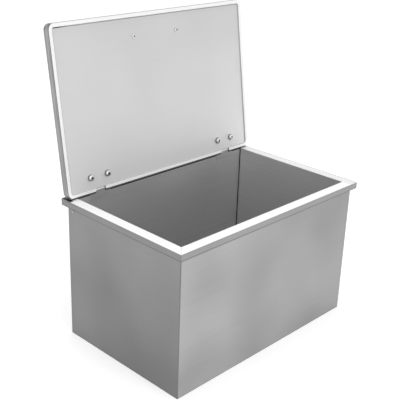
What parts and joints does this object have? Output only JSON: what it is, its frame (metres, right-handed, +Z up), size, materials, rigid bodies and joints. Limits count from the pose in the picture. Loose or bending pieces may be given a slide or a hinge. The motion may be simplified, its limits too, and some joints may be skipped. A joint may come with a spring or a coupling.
{
  "type": "drop in ice bin",
  "caption": "Double-walled stainless drop-in ice bin: open-topped insulated tank with a folded rim and skirt, floor drain with plug, and a hinged insulated lid with a bow handle.",
  "frame": {"origin": "middle of the underside of the base, which stands flat", "axes": "+X along the long front to the right, +Y from the front to the hinge side, +Z up"},
  "size_m": [0.53, 0.4107, 0.6459],
  "materials": {
    "brushed_stainless": "satin",
    "polished_stainless": "polished",
    "foam": "matte",
    "black_rubber": "matte"
  },
  "bodies": {
    "bin": {"inner_tank": "brushed_stainless", "outer_casing": "brushed_stainless", "casing_rivet_left": "polished_stainless", "casing_rivet_right": "polished_stainless", "base_pan": "brushed_stainless", "insulation_front": "foam", "insulation_back": "foam", "insulation_left": "foam", "insulation_right": "foam", "insulation_floor": "foam", "drain_body": "brushed_stainless", "drain_strainer": "brushed_stainless", "drain_gasket": "black_rubber", "drain_washer": "black_rubber", "drain_locknut": "brushed_stainless", "hinge_tank_leaf_left": "polished_stainless", "hinge_tank_leaf_right": "polished_stainless"},
    "lid": {"lid_skin": "brushed_stainless", "lid_liner": "brushed_stainless", "lid_foam": "foam", "lid_handle": "polished_stainless", "handle_screw_left": "polished_stainless", "handle_screw_right": "polished_stainless", "hinge_lid_leaf_left": "polished_stainless", "hinge_lid_leaf_right": "polished_stainless", "hinge_pin_left": "polished_stainless", "hinge_pin_right": "polished_stainless", "hinge_screw_left_outer": "polished_stainless", "hinge_screw_left_inner": "polished_stainless", "hinge_screw_right_outer": "polished_stainless", "hinge_screw_right_inner": "polished_stainless", "hinge_washer_left_outer": "polished_stainless", "hinge_washer_left_inner": "polished_stainless", "hinge_washer_right_outer": "polished_stainless", "hinge_washer_right_inner": "polished_stainless", "hinge_nut_left_outer": "polished_stainless", "hinge_nut_left_inner": "polished_stainless", "hinge_nut_right_outer": "polished_stainless", "hinge_nut_right_inner": "polished_stainless"},
    "plug": {"drain_plug": "black_rubber"}
  },
  "joints": [
    {"name": "lid_hinge", "type": "hinge", "parent": "bin", "child": "lid", "pos_m": [0, 0.1486, 0.31312], "axis": [1, 0, 0], "range_deg": [0, 98.3]},
    {"name": "plug_lift", "type": "slide", "parent": "bin", "child": "plug", "axis": [0, 0, 1], "range_m": [0, 0.035]}
  ]
}
